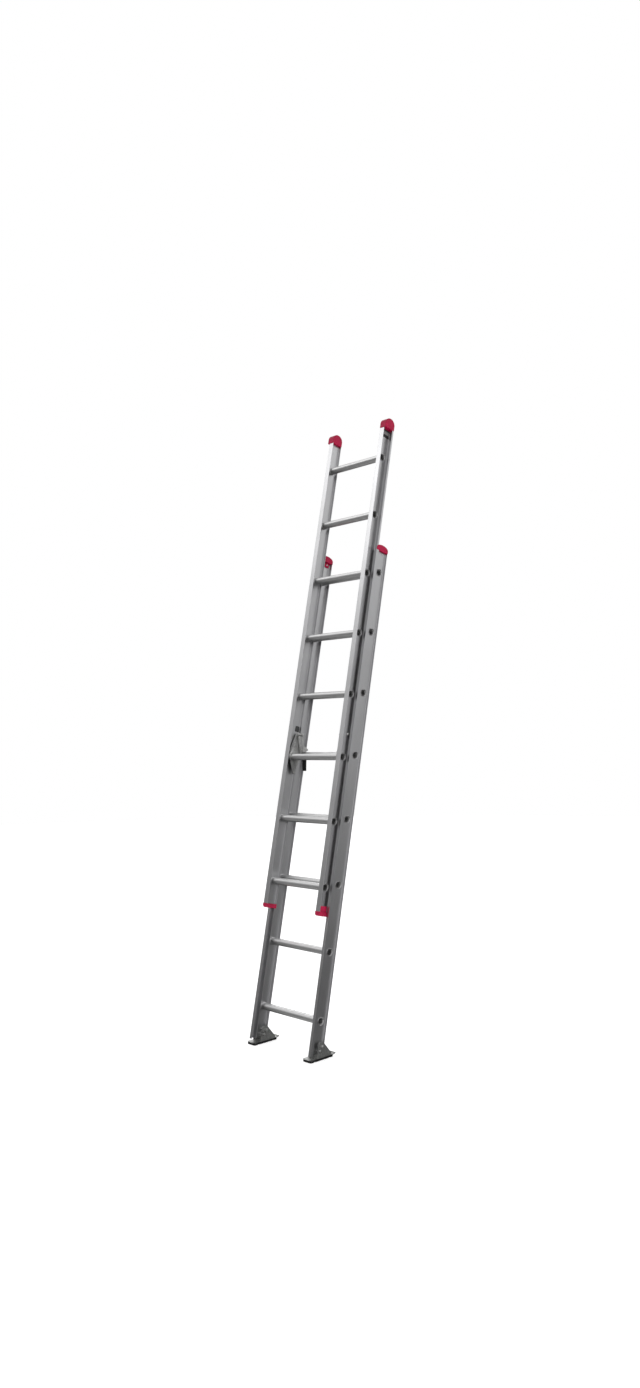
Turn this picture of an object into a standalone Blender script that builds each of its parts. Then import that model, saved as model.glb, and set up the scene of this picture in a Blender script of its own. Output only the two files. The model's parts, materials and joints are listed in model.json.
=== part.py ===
"""Two-section aluminium extension ladder with D-shaped rungs, leaning at its working angle.

The climber stands on the -Y side.  The base section stands on two tilting shoes, and the
fly section slides in front of it, held by a swinging lock on each side.  Pieces are drawn
in the rail frame: X across the ladder, Y (depth) back from the fly's front face, Z up
along the rails from the centre of the lowest rung.  The empty LEAN tips that frame back.
"""
import math

import bmesh
import bpy
from mathutils import Matrix, Vector

# Whole ladder (metres)
LEAN = math.radians(78.0)          # rails above the ground
PITCH = 0.3048                     # rung spacing, 12 inches
RUNG_COUNT = 8                     # in each section
CLEAR = 0.0003                     # gap between pieces that touch
DATUM_HEIGHT = 0.185               # rail-frame origin above the ground

# D-shaped rung
RUNG_RADIUS = 0.0175
RUNG_FLAT = 0.0140                 # height of the tread above the rung's centre
RUNG_WALL = 0.0020
SWAGE = 0.0020                     # how far the swaged beads stand proud
BEAD = 0.0032                      # width of the bead inside the web
ARC_STEPS = 9

# Fly section
FLY_RISE = 2 * PITCH - 0.0206      # lowest fly rung above the lowest base rung
FLY_RUNG_DEPTH = 0.0287
FLY_WEB = (0.1766, 0.1786)         # inner and outer face of the web
FLY_BOTTOM, FLY_TOP = 0.4660, 2.8925
FLY_BACK = 0.0614

# Base section
BASE_RUNG_DEPTH = 0.0948
BASE_WEB = (0.1934, 0.1954)
BASE_FRONT, BASE_BACK = 0.0624, 0.1274
BASE_BOTTOM, BASE_TOP = -0.1800, 2.2480
RAIL_FOOT = 0.026                  # the rail's foot is cut level at this height
GUIDE_LIP = 0.0470                 # front of the lip that wraps round the fly rail
OUTER_FACE = 0.2056
FILLET = 0.0014                    # where webs meet flanges
TAPER = 0.0003                     # flanges thin a little towards their toes

# Shoe, in a frame level with the ground
SHOE_PIVOT_BACK, SHOE_PIVOT_HEIGHT = 0.080, 0.058    # from the rail-frame origin, ground
SHOE_X = (0.1610, 0.2166)
SHEET = 0.0030                     # shoe steel
SHOE_FRONT, SHOE_REAR = -0.073, 0.086
PAD_TOP = 0.0087
STUD_REACH = 0.0226                # guide stud's distance from the pivot
STUD_ANGLE = math.radians(225)

# Rung lock: heights are above the third fly rung
LOCK_RUNG = 3
PIVOT_DEPTH, PIVOT_RISE = 0.0440, 0.1100
PLATE = 0.0025
HOUSING_X = (0.1600, 0.1625)
PAWL_X = (0.1330, 0.1585)
FINGER_X = (0.1085, 0.1325)
FINGER_DEPTH, FINGER_RISE = 0.0640, 0.0150
FINGER_LENGTH = 0.0800
BOLT_RADIUS = 0.0040
PIN_RADIUS = 0.0025

COLOURS = {
    "aluminium": ((0.60, 0.60, 0.61), 0.38, 1.0),
    "red_plastic": ((0.42, 0.010, 0.035), 0.42, 0.0),
    "zinc_steel": ((0.42, 0.41, 0.38), 0.40, 1.0),
    "shoe_steel": ((0.20, 0.19, 0.17), 0.50, 1.0),
    "black_rubber": ((0.012, 0.012, 0.012), 0.85, 0.0),
    "black_plastic": ((0.015, 0.015, 0.016), 0.55, 0.0),
    "dark_label": ((0.060, 0.055, 0.055), 0.50, 0.0),
}


# ---------------------------------------------------------------- scene and materials

def clear_scene():
    for obj in list(bpy.data.objects):
        bpy.data.objects.remove(obj, do_unlink=True)


def new_collection(name):
    collection = bpy.data.collections.new(name)
    bpy.context.scene.collection.children.link(collection)
    return collection


def new_material(name):
    colour, roughness, metallic = COLOURS[name]
    material = bpy.data.materials.new(name)
    material.use_nodes = True
    shader = material.node_tree.nodes["Principled BSDF"]
    shader.inputs["Base Color"].default_value = (*colour, 1.0)
    shader.inputs["Roughness"].default_value = roughness
    shader.inputs["Metallic"].default_value = metallic
    return material


def new_empty(name, parent, location, tilt=0.0):
    empty = bpy.data.objects.new(name, None)
    empty.empty_display_size = 0.03
    PARTS.objects.link(empty)
    empty.parent = parent
    empty.location = location
    empty.rotation_euler = (tilt, 0.0, 0.0)
    return empty


def give_name(obj, name, parent, slot):
    """Names a finished shape, gives it its own material and hangs it on its parent."""
    obj.name = name
    obj.data.name = name
    obj.parent = parent
    obj.data.materials.clear()
    obj.data.materials.append(MATERIALS[slot].copy())
    obj.data.materials[0].name = name + "_material"
    return obj


# ------------------------------------------------------------------------- outlines

def arc(centre, radius, start, end, steps):
    """Points on an arc, angles in degrees."""
    points = []
    for i in range(steps + 1):
        angle = math.radians(start + (end - start) * i / steps)
        points.append((centre[0] + radius * math.cos(angle), centre[1] + radius * math.sin(angle)))
    return points


def circle(centre, radius, steps=12):
    return arc(centre, radius, 0, 360 - 360 / steps, steps - 1)


def box_outline(low, high):
    return [low, (high[0], low[1]), high, (low[0], high[1])]


def rail_point(back, up):
    """A step measured level and plumb, turned into the rail frame's depth and height."""
    return (back * math.sin(LEAN) - up * math.cos(LEAN),
            back * math.cos(LEAN) + up * math.sin(LEAN))


def level_to_rail(back, height):
    """A place on the level ground frame, as rail-frame depth and height."""
    return rail_point(back, height - DATUM_HEIGHT)


def rung_outline(grow=0.0, centre=(0.0, 0.0)):
    """The D section, its flat tread facing straight up when the ladder leans."""
    radius, flat = RUNG_RADIUS + grow, RUNG_FLAT + grow
    edge = math.degrees(math.asin(flat / radius))
    points = arc((0.0, 0.0), radius, edge, -180 - edge, ARC_STEPS)
    turned_points = [rail_point(back, up) for back, up in points]
    return [(centre[0] + depth, centre[1] + height) for depth, height in turned_points]


# --------------------------------------------------------------------------- solids

def mesh_object(name, mesh, collection):
    obj = bpy.data.objects.new(name, mesh)
    collection.objects.link(obj)
    return obj


def tidy_mesh(mesh, matrix):
    """Welds a mesh, moves it by the matrix and turns its faces outward."""
    shape = bmesh.new()
    shape.from_mesh(mesh)
    bmesh.ops.remove_doubles(shape, verts=shape.verts, dist=1e-6)
    bmesh.ops.transform(shape, matrix=matrix, verts=shape.verts)
    bmesh.ops.recalc_face_normals(shape, faces=shape.faces)
    shape.to_mesh(mesh)
    shape.free()


def outline_solid(loops, span, across, collection=None):
    """Extrudes closed outlines over span.

    across=True draws the outlines in depth and height and extrudes them along X;
    across=False draws them in X and depth and extrudes them along the rails.
    """
    curve = bpy.data.curves.new("outline", "CURVE")
    curve.dimensions = "2D"
    curve.fill_mode = "BOTH"
    curve.extrude = abs(span[1] - span[0]) / 2
    for loop in loops:
        spline = curve.splines.new("POLY")
        spline.points.add(len(loop) - 1)
        for point, (a, b) in zip(spline.points, loop):
            point.co = (a, b, 0.0, 1.0)
        spline.use_cyclic_u = True
    drawing = mesh_object("drawing", curve, CUTTERS)
    evaluated = drawing.evaluated_get(bpy.context.evaluated_depsgraph_get())
    mesh = bpy.data.meshes.new_from_object(evaluated)
    bpy.data.objects.remove(drawing, do_unlink=True)
    bpy.data.curves.remove(curve)
    middle = (span[0] + span[1]) / 2
    matrix = Matrix.Translation((0.0, 0.0, middle))
    if across:
        turn = Matrix(((0, 0, 1, 0), (1, 0, 0, 0), (0, 1, 0, 0), (0, 0, 0, 1)))
        matrix = turn @ matrix
    tidy_mesh(mesh, matrix)
    return mesh_object("solid", mesh, collection or PARTS)


def on_side(obj, side):
    """Mirrors a shape drawn on the +X side when it belongs on the left."""
    if side < 0:
        tidy_mesh(obj.data, Matrix.Scale(-1, 4, Vector((1, 0, 0))))
    return obj


def combine(target, tool, operation):
    """Adds a Boolean whose tool is kept, hidden, among the cutters."""
    for collection in list(tool.users_collection):
        collection.objects.unlink(tool)
    CUTTERS.objects.link(tool)
    tool.hide_render = True
    tool.display_type = "WIRE"
    modifier = target.modifiers.new(operation.lower(), "BOOLEAN")
    modifier.operation = operation
    modifier.solver = "EXACT"
    modifier.object = tool
    return target


def turned(profile, steps=12):
    """A turned solid about X: the profile lists (distance along X, radius)."""
    mesh = bpy.data.meshes.new("profile")
    verts = [(radius, 0.0, along) for along, radius in profile]
    edges = [(i, i + 1) for i in range(len(profile) - 1)]
    if profile[0][1] > 0:
        edges.append((len(profile) - 1, 0))
    mesh.from_pydata(verts, edges, [])
    drawing = mesh_object("drawing", mesh, CUTTERS)
    screw = drawing.modifiers.new("screw", "SCREW")
    screw.steps = steps
    screw.render_steps = steps
    screw.use_merge_vertices = True
    screw.merge_threshold = 1e-6
    evaluated = drawing.evaluated_get(bpy.context.evaluated_depsgraph_get())
    solid = bpy.data.meshes.new_from_object(evaluated)
    bpy.data.objects.remove(drawing, do_unlink=True)
    tidy_mesh(solid, Matrix.Rotation(math.radians(90), 4, "Y"))
    return mesh_object("turned", solid, PARTS)


def hex_nut(face, shank, across, depth=0.0060):
    """A nut whose outer end is at face, with clearance round the shank."""
    corners = arc((0.0, 0.0), across, 0, 300, 5)
    return outline_solid([corners, circle((0.0, 0.0), shank + CLEAR)], (face - depth, face), True)


def shift(obj, depth, height):
    """Moves a shape within its own mesh, so that its origin stays where its parent is."""
    obj.data.transform(Matrix.Translation((0.0, depth, height)))
    return obj


def smooth(obj, degrees=35):
    obj.data.shade_smooth()
    obj.data.set_sharp_from_angle(angle=math.radians(degrees))
    return obj


# ---------------------------------------------------------------------- rails, rungs

def root(corner, along, across):
    """The two ends of a fillet where a web meets a flange."""
    return [(corner[0], corner[1] + along), (corner[0] + across, corner[1])]


def fly_section_outline():
    """An I-beam whose rear flange ends in the lip that runs inside the base rail."""
    inner, outer = FLY_WEB
    back, wall, toe, reach = FLY_BACK, 0.0022, 0.1645, 0.2024
    front_out = root((outer, wall), FILLET, FILLET)[::-1]
    rear_out = root((outer, back - wall), -FILLET, FILLET)
    rear_in = root((inner, back - wall), -FILLET, -FILLET)[::-1]
    front_in = root((inner, wall), FILLET, -FILLET)
    return [(toe, 0.0), (0.1920, 0.0), (0.1920, wall - TAPER), *front_out, *rear_out,
            (reach - wall, back - wall + TAPER), (reach - wall, 0.0515), (reach, 0.0515), (reach, back),
            (toe, back), (toe, back - wall + TAPER), *rear_in, *front_in, (toe, wall - TAPER)]


def base_section_outline():
    """A channel whose front edge wraps round the fly rail's rear lip."""
    inner, outer = BASE_WEB
    front, back, wall, toe = BASE_FRONT, BASE_BACK, 0.0022, 0.1770
    front_out = root((outer, front + wall), FILLET, FILLET)[::-1]
    rear_out = root((outer, back - wall), -FILLET, FILLET)
    rear_in = root((inner, back - wall), -FILLET, -FILLET)[::-1]
    front_in = root((inner, front + wall), FILLET, -FILLET)
    return [(0.1915, GUIDE_LIP), (OUTER_FACE, GUIDE_LIP), (OUTER_FACE, front + wall), *front_out,
            *rear_out, (OUTER_FACE, back - wall + TAPER), (OUTER_FACE, back), (toe, back),
            (toe, back - wall + TAPER), *rear_in, *front_in, (toe, front + wall - TAPER),
            (toe, front), (OUTER_FACE - wall, front), (OUTER_FACE - wall, GUIDE_LIP + wall),
            (0.1915, GUIDE_LIP + wall - TAPER)]


def add_rail(name, side, parent, outline, span, web, holes):
    """One rail, with every hole through its web cut in a single pass."""
    rail = on_side(outline_solid([outline], span, across=False), side)
    reach = (web[0] - 0.004, web[1] + 0.004)
    tool = on_side(outline_solid(holes, reach, across=True), side)
    tool.parent = parent
    combine(rail, tool, "DIFFERENCE")
    return give_name(rail, name, parent, "aluminium")


def cut_rail_foot(rail, side, parent):
    """Trims the foot of a base rail level with the ground."""
    corners = [level_to_rail(back, height) for back, height in
               ((-0.15, RAIL_FOOT), (0.25, RAIL_FOOT), (0.25, -0.10), (-0.15, -0.10))]
    tool = on_side(outline_solid([corners], (0.15, 0.23), across=True), side)
    tool.parent = parent
    combine(rail, tool, "DIFFERENCE")


def rung_mesh(web):
    """A hollow D tube, flared outside each web and beaded inside it."""
    inner, outer = web
    half = [(outer + CLEAR + 0.0017, SWAGE), (outer + CLEAR, SWAGE), (outer + CLEAR, 0.0),
            (inner - CLEAR, 0.0), (inner - CLEAR, SWAGE), (inner - CLEAR - BEAD, SWAGE),
            (inner - CLEAR - BEAD - 0.0015, 0.0)]
    outside = [(-along, grow) for along, grow in half] + half[::-1]
    shape = bmesh.new()
    rings = []
    for along, grow in outside + [(half[0][0], -RUNG_WALL), (-half[0][0], -RUNG_WALL)]:
        rings.append([shape.verts.new((along, *point)) for point in rung_outline(grow)])
    for ring, following in zip(rings, rings[1:] + rings[:1]):
        for i in range(len(ring)):
            j = (i + 1) % len(ring)
            shape.faces.new((ring[i], ring[j], following[j], following[i]))
    bmesh.ops.recalc_face_normals(shape, faces=shape.faces)
    mesh = bpy.data.meshes.new("rung")
    shape.to_mesh(mesh)
    shape.free()
    return mesh


def add_rungs(section, parent, web, depth, first):
    mesh = rung_mesh(web)
    for number in range(1, RUNG_COUNT + 1):
        rung = mesh_object("rung", mesh.copy(), PARTS)
        give_name(smooth(rung), f"{section}_rung_{number}", parent, "aluminium")
        rung.location = (0.0, depth, first + (number - 1) * PITCH)


# -------------------------------------------------------------------------- end caps

def arch_outline(front, back, low, spring, high):
    """A cap seen from the side: straight skirts up to spring, under a flattened arch."""
    middle, half = (front + back) / 2, (back - front) / 2
    dome = []
    for across, up in arc((0.0, 0.0), 1.0, 0, 180, 10):
        dome.append((middle + half * across, spring + (high - spring) * up))
    return [(front, low), (back, low)] + dome


def add_fly_top_cap(side, label):
    arch = arch_outline(-0.0016, 0.0630, 2.8720, 2.8960, 2.9260)
    cap = outline_solid([arch], (0.1629, 0.2040), True)
    pocket_outline = box_outline((-CLEAR, 2.86), (FLY_BACK + CLEAR, FLY_TOP + CLEAR))
    pocket = outline_solid([pocket_outline], (0.1645 - CLEAR, 0.2024 + CLEAR), True)
    pocket.parent = FLY
    combine(on_side(cap, side), on_side(pocket, side), "DIFFERENCE")
    give_name(cap, "fly_top_cap_" + label, FLY, "red_plastic")


def add_fly_bottom_cap(side, label):
    """A rounded toe with a tongue that runs up the outside of the web."""
    low, high, front, back = 0.4580, 0.4785, -0.0016, FLY_BACK - 0.0002
    floor = FLY_BOTTOM - CLEAR
    toe = arc((front + 0.012, low + 0.012), 0.012, 180, 270, 4)
    cap = outline_solid([toe + [(back, low), (back, high), (front, high)]], (0.1629, 0.1936), True)
    pocket_outline = box_outline((-CLEAR, floor), (0.07, 0.49))
    pocket = outline_solid([pocket_outline], (0.1645 - CLEAR, 0.1920 + CLEAR), True)
    relief = outline_solid([box_outline((0.0455, 0.45), (0.07, 0.49))], (0.1906, 0.20), True)
    tongue_outline = box_outline((0.0040, low + 0.002), (0.0452, 0.5040))
    tongue = outline_solid([tongue_outline], (FLY_WEB[1] + CLEAR, 0.1895), True)
    on_side(cap, side)
    for tool, operation in ((pocket, "DIFFERENCE"), (relief, "DIFFERENCE"), (tongue, "UNION")):
        on_side(tool, side).parent = FLY
        combine(cap, tool, operation)
    give_name(cap, "fly_bottom_cap_" + label, FLY, "red_plastic")


def add_base_top_cap(side, label):
    """A cap that leaves the fly rail's channel open and is riveted through the web."""
    arch = arch_outline(0.0466, 0.1290, 2.2380, 2.2505, 2.2700)
    cap = outline_solid([arch], (0.1752, 0.2074), True)
    pocket_outline = box_outline((0.04, 2.23), (BASE_BACK + CLEAR, BASE_TOP + CLEAR))
    pocket = outline_solid([pocket_outline], (0.1770 - CLEAR, OUTER_FACE + CLEAR), True)
    way_outline = box_outline((0.04, 2.23), (BASE_FRONT + 0.0012, 2.29))
    way = outline_solid([way_outline], (0.17, OUTER_FACE + CLEAR), True)
    tongue_outline = box_outline((0.085, 2.2150), (0.116, 2.2520))
    tongue = outline_solid([tongue_outline], (BASE_WEB[0] - 0.0043, BASE_WEB[0] - CLEAR), True)
    hole = outline_solid([circle(RIVET_PLACE, 0.0023)], (0.18, BASE_WEB[0]), True)
    on_side(cap, side)
    for tool, operation in ((pocket, "DIFFERENCE"), (way, "DIFFERENCE"), (tongue, "UNION"),
                            (hole, "DIFFERENCE")):
        on_side(tool, side).parent = BASE
        combine(cap, tool, operation)
    give_name(cap, "base_top_cap_" + label, BASE, "red_plastic")
    rivet = turned([(0.1870, 0), (0.1870, 0.0038), (0.1888, 0.0038), (0.1888, 0.0020),
                    (BASE_WEB[1] + CLEAR, 0.0020), (BASE_WEB[1] + CLEAR, 0.0040),
                    (0.1970, 0.0034), (0.1976, 0)])
    on_side(shift(rivet, *RIVET_PLACE), side)
    give_name(smooth(rivet), "base_cap_rivet_" + label, BASE, "aluminium")


# ----------------------------------------------------------------------------- shoes

def ear_outline(pivot_hole, slot_radius):
    """One ear of the shoe, around its pivot: outline, pivot hole and guide slot."""
    plate_top = PAD_TOP + CLEAR + SHEET - SHOE_PIVOT_HEIGHT
    tip = arc((-0.014, 0.012), 0.010, 162, 90, 3) + arc((0.002, 0.012), 0.010, 90, 40, 3)
    edge = [(0.058, plate_top + 0.008), (0.058, plate_top - 0.001), (-0.034, plate_top - 0.001)]
    start, end = math.degrees(STUD_ANGLE) - 34, math.degrees(STUD_ANGLE) + 24
    outer = arc((0, 0), STUD_REACH + slot_radius, start, end, 8)
    inner = arc((0, 0), STUD_REACH - slot_radius, end, start, 8)
    return [tip + edge, circle((0, 0), pivot_hole), outer + inner]


def shoe_profile():
    """The shoe plate from the side: flat, with its heel turned up."""
    low = PAD_TOP + CLEAR - SHOE_PIVOT_HEIGHT
    bend = (SHOE_REAR - 0.012, low + 0.014)
    under = arc(bend, 0.014, 270, 325, 3)
    over = arc(bend, 0.014 - SHEET, 325, 270, 3)
    return [(SHOE_FRONT, low)] + under + over + [(SHOE_FRONT, low + SHEET)]


def pad_profile():
    """The tread pad from the side, with shallow grooves across its sole."""
    top, sole = PAD_TOP - SHOE_PIVOT_HEIGHT, -SHOE_PIVOT_HEIGHT
    front, rear, groove, count = SHOE_FRONT + 0.001, SHOE_REAR - 0.014, 0.0035, 4
    points = [(front, top), (front, sole)]
    for i in range(1, count + 1):
        middle = front + (rear - front) * i / (count + 1)
        points += [(middle - groove / 2, sole), (middle - groove / 2, sole + 0.002),
                   (middle + groove / 2, sole + 0.002), (middle + groove / 2, sole)]
    return points + [(rear, sole), (rear, top)]


def shoe_plan():
    """The shoe from above, with its front corners rounded."""
    inner, outer, radius = SHOE_X[0], SHOE_X[1], 0.010
    corner_in = arc((inner + radius, SHOE_FRONT + radius), radius, 180, 270, 4)
    corner_out = arc((outer - radius, SHOE_FRONT + radius), radius, 270, 360, 4)
    return [corner_in + corner_out + [(outer, 0.10), (inner, 0.10)]]


def add_shoe(side, label):
    inner, outer = SHOE_X
    ground = new_empty("ground_" + label, None, (0.0, SHOE_PIVOT_BACK - ORIGIN_BACK, SHOE_PIVOT_HEIGHT))
    bracket = outline_solid([shoe_profile()], SHOE_X, True)
    plan = outline_solid(shoe_plan(), (-0.08, 0.02), False)
    ears = []
    for low in (inner, outer - SHEET):
        ears.append(outline_solid(ear_outline(BOLT_RADIUS + CLEAR, 0.0035), (low, low + SHEET), True))
    on_side(bracket, side)
    for tool, operation in ((plan, "INTERSECT"), (ears[0], "UNION"), (ears[1], "UNION")):
        on_side(tool, side).parent = ground
        combine(bracket, tool, operation)
    give_name(bracket, "shoe_bracket_" + label, ground, "shoe_steel")

    pad = outline_solid([pad_profile()], (inner + 0.001, outer - 0.001), True)
    pad_plan = outline_solid(shoe_plan(), (-0.08, 0.02), False)
    pad_plan.parent = ground
    combine(on_side(pad, side), on_side(pad_plan, side), "INTERSECT")
    give_name(pad, "shoe_pad_" + label, ground, "black_rubber")

    bolt_end = inner - 0.0105
    for name, radius, place in (("shoe_pivot_bolt_", BOLT_RADIUS, (0.0, 0.0)),
                                ("shoe_guide_stud_", 0.0030, STUD_PLACE)):
        head = outer + CLEAR
        bolt = turned([(bolt_end, 0), (bolt_end, radius - CLEAR), (head, radius - CLEAR),
                       (head, radius * 1.8), (head + 0.0035, radius * 1.8), (head + 0.0050, 0)])
        on_side(shift(bolt, *place), side)
        give_name(smooth(bolt), name + label, ground, "zinc_steel")
    for name, radius, place in (("shoe_pivot_nut_", BOLT_RADIUS, (0.0, 0.0)),
                                ("shoe_stud_nut_", 0.0030, STUD_PLACE)):
        nut = hex_nut(inner - CLEAR, radius, radius * 2.0)
        on_side(shift(nut, *place), side)
        give_name(nut, name + label, ground, "zinc_steel")


# ------------------------------------------------------------------------- rung locks

def housing_outlines():
    """The kite-shaped guard plate: outline, rung opening and bolt hole."""
    crown = arc((PIVOT_DEPTH, PIVOT_RISE + 0.002), 0.011, 30, 150, 4)
    front = [(0.0030, 0.006), (0.0030, -0.006)]
    toe = arc((0.0480, -0.078), 0.007, 225, 330, 4)
    rear = [(0.0735, -0.012), (0.0735, 0.004)]
    bolt_hole = circle((PIVOT_DEPTH, PIVOT_RISE), BOLT_RADIUS + CLEAR)
    pin_hole = circle((FINGER_DEPTH, FINGER_RISE), PIN_RADIUS + CLEAR)
    rung_hole = rung_outline(CLEAR, (FLY_RUNG_DEPTH, 0.0))
    return [crown + front + toe + rear, bolt_hole, pin_hole, rung_hole]


def housing_edge():
    """The stiffening flange turned in along the housing's upper front edge."""
    low, high = Vector((0.0040, 0.012)), Vector((0.0237, 0.072))
    across = (high - low).normalized().orthogonal() * PLATE
    if across.x < 0:
        across = -across
    return [tuple(low), tuple(high), tuple(high + across), tuple(low + across)]


def swing(radius, degrees):
    """A place on the pawl, degrees back from straight down the rail below its pivot."""
    angle = math.radians(degrees)
    return (radius * math.sin(angle), -radius * math.cos(angle))


def foot_radius():
    """The pawl's foot is struck about its pivot and just reaches the base rung."""
    rung = (BASE_RUNG_DEPTH - PIVOT_DEPTH, 2 * PITCH - FLY_RISE - PIVOT_RISE)
    corners = [Vector(point) for point in rung_outline(0.0, rung)]
    nearest = min(abs(start.cross(end)) / (end - start).length if 0 < -start.dot(end - start)
                  < (end - start).length_squared else min(start.length, end.length)
                  for start, end in zip(corners, corners[1:] + corners[:1]))
    return nearest - 2 * CLEAR


def pawl_outline():
    """Pawl cheek round its pivot: a boss, a waist and a foot that bears on the base rung."""
    boss = arc((0.0, 0.0), 0.0105, 0, 215, 8)
    foot = [swing(foot_radius(), degrees) for degrees in range(15, 42, 4)]
    heel = [swing(foot_radius() - 0.006, 40), swing(0.052, 24)]
    return boss + foot + heel


def saddle_outline():
    """The block between the pawl's cheeks that takes the load of the fly."""
    outer, inner = foot_radius() - 0.0002, foot_radius() - 0.0120
    outside = [swing(outer, degrees) for degrees in range(17, 39, 4)]
    return outside + [swing(inner, 34), swing(inner, 20)]


def finger_outline():
    """The gravity finger round its pin, hanging plumb while the ladder leans."""
    head = arc((0.0, 0.0), 0.0050, 0, 180, 6)
    tip = arc((0.0, -FINGER_LENGTH + 0.002), 0.0018, 200, 340, 3)
    points = head + tip
    return [rail_point(back, up) for back, up in points]


def spring_coil():
    """A torsion spring round the lock bolt, between the web and the housing."""
    turns, per_turn, radius, wire = 4, 8, 0.0066, 0.0008
    start, end = HOUSING_X[1] + 0.0016, FLY_WEB[0] - 0.0016
    curve = bpy.data.curves.new("coil", "CURVE")
    curve.dimensions = "3D"
    curve.bevel_depth = wire
    curve.bevel_resolution = 1
    curve.use_fill_caps = True
    spline = curve.splines.new("POLY")
    count = turns * per_turn + 1
    spline.points.add(count - 1)
    for i, point in enumerate(spline.points):
        angle = 2 * math.pi * i / per_turn
        along = start + (end - start) * i / (count - 1)
        point.co = (along, radius * math.cos(angle), radius * math.sin(angle), 1.0)
    drawing = mesh_object("drawing", curve, CUTTERS)
    evaluated = drawing.evaluated_get(bpy.context.evaluated_depsgraph_get())
    mesh = bpy.data.meshes.new_from_object(evaluated)
    bpy.data.objects.remove(drawing, do_unlink=True)
    tidy_mesh(mesh, Matrix.Identity(4))
    return mesh_object("coil", mesh, PARTS)


def add_lock(side, label):
    rung_height = FLY_RISE + (LOCK_RUNG - 1) * PITCH
    seat = new_empty("lock_seat_" + label, FLY, (0.0, 0.0, rung_height))
    pivot = new_empty("lock_pivot_" + label, seat, (0.0, PIVOT_DEPTH, PIVOT_RISE))
    pin = new_empty("finger_pin_axis_" + label, seat, (0.0, FINGER_DEPTH, FINGER_RISE))

    housing = outline_solid(housing_outlines(), HOUSING_X, True)
    edge = outline_solid([housing_edge()], (PAWL_X[1] - 0.003, HOUSING_X[1]), True)
    on_side(edge, side).parent = seat
    combine(on_side(housing, side), edge, "UNION")
    give_name(housing, "lock_housing_" + label, seat, "zinc_steel")

    holes = [circle((0, 0), BOLT_RADIUS + CLEAR)]
    pawl = outline_solid([pawl_outline()] + holes, (PAWL_X[1] - PLATE, PAWL_X[1]), True)
    cheek = outline_solid([pawl_outline()] + holes, (PAWL_X[0], PAWL_X[0] + PLATE), True)
    saddle = outline_solid([saddle_outline()], (PAWL_X[0] + 0.001, PAWL_X[1] - 0.001), True)
    on_side(pawl, side)
    for tool in (saddle, cheek):
        on_side(tool, side).parent = pivot
        combine(pawl, tool, "UNION")
    give_name(pawl, "lock_pawl_" + label, pivot, "zinc_steel")

    head = FLY_WEB[1] + CLEAR
    end = PAWL_X[0] - 0.0075
    shank = BOLT_RADIUS - CLEAR
    bolt = turned([(end, 0), (end, shank), (head, shank), (head, 0.0075), (head + 0.0035, 0.0075),
                   (head + 0.0050, 0.0050), (head + 0.0050, 0)])
    give_name(smooth(on_side(bolt, side)), "lock_bolt_" + label, pivot, "zinc_steel")
    nut = on_side(hex_nut(PAWL_X[0] - CLEAR, BOLT_RADIUS, 0.0080), side)
    give_name(nut, "lock_nut_" + label, pivot, "zinc_steel")
    give_name(smooth(on_side(spring_coil(), side)), "lock_spring_" + label, pivot, "zinc_steel")

    finger = outline_solid([finger_outline(), circle((0, 0), PIN_RADIUS + CLEAR)], FINGER_X, True)
    give_name(on_side(finger, side), "lock_finger_" + label, pin, "black_plastic")
    rod = turned([(FINGER_X[0] - CLEAR - 0.0018, 0), (FINGER_X[0] - CLEAR - 0.0018, 0.0040),
                  (FINGER_X[0] - CLEAR, 0.0040), (FINGER_X[0] - CLEAR, PIN_RADIUS),
                  (HOUSING_X[1] + CLEAR, PIN_RADIUS), (HOUSING_X[1] + CLEAR, 0.0040),
                  (HOUSING_X[1] + CLEAR + 0.0012, 0.0040), (HOUSING_X[1] + CLEAR + 0.0012, 0)])
    give_name(smooth(on_side(rod, side)), "finger_pin_" + label, pin, "zinc_steel")

    keeper_outline = box_outline((0.0320, PIVOT_RISE + 0.018), (0.0560, PIVOT_RISE + 0.046))
    keeper = outline_solid([keeper_outline], (FLY_WEB[0] - CLEAR - 0.0020, FLY_WEB[0] - CLEAR), True)
    give_name(on_side(keeper, side), "lock_keeper_" + label, seat, "black_plastic")


# ------------------------------------------------------------------------------ build

def section_holes(depth, first, extra):
    """Every opening through a rail's web, in depth and height."""
    rungs = [rung_outline(CLEAR, (depth, first + i * PITCH)) for i in range(RUNG_COUNT)]
    return rungs + [circle(place, radius + CLEAR) for place, radius in extra]


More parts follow.
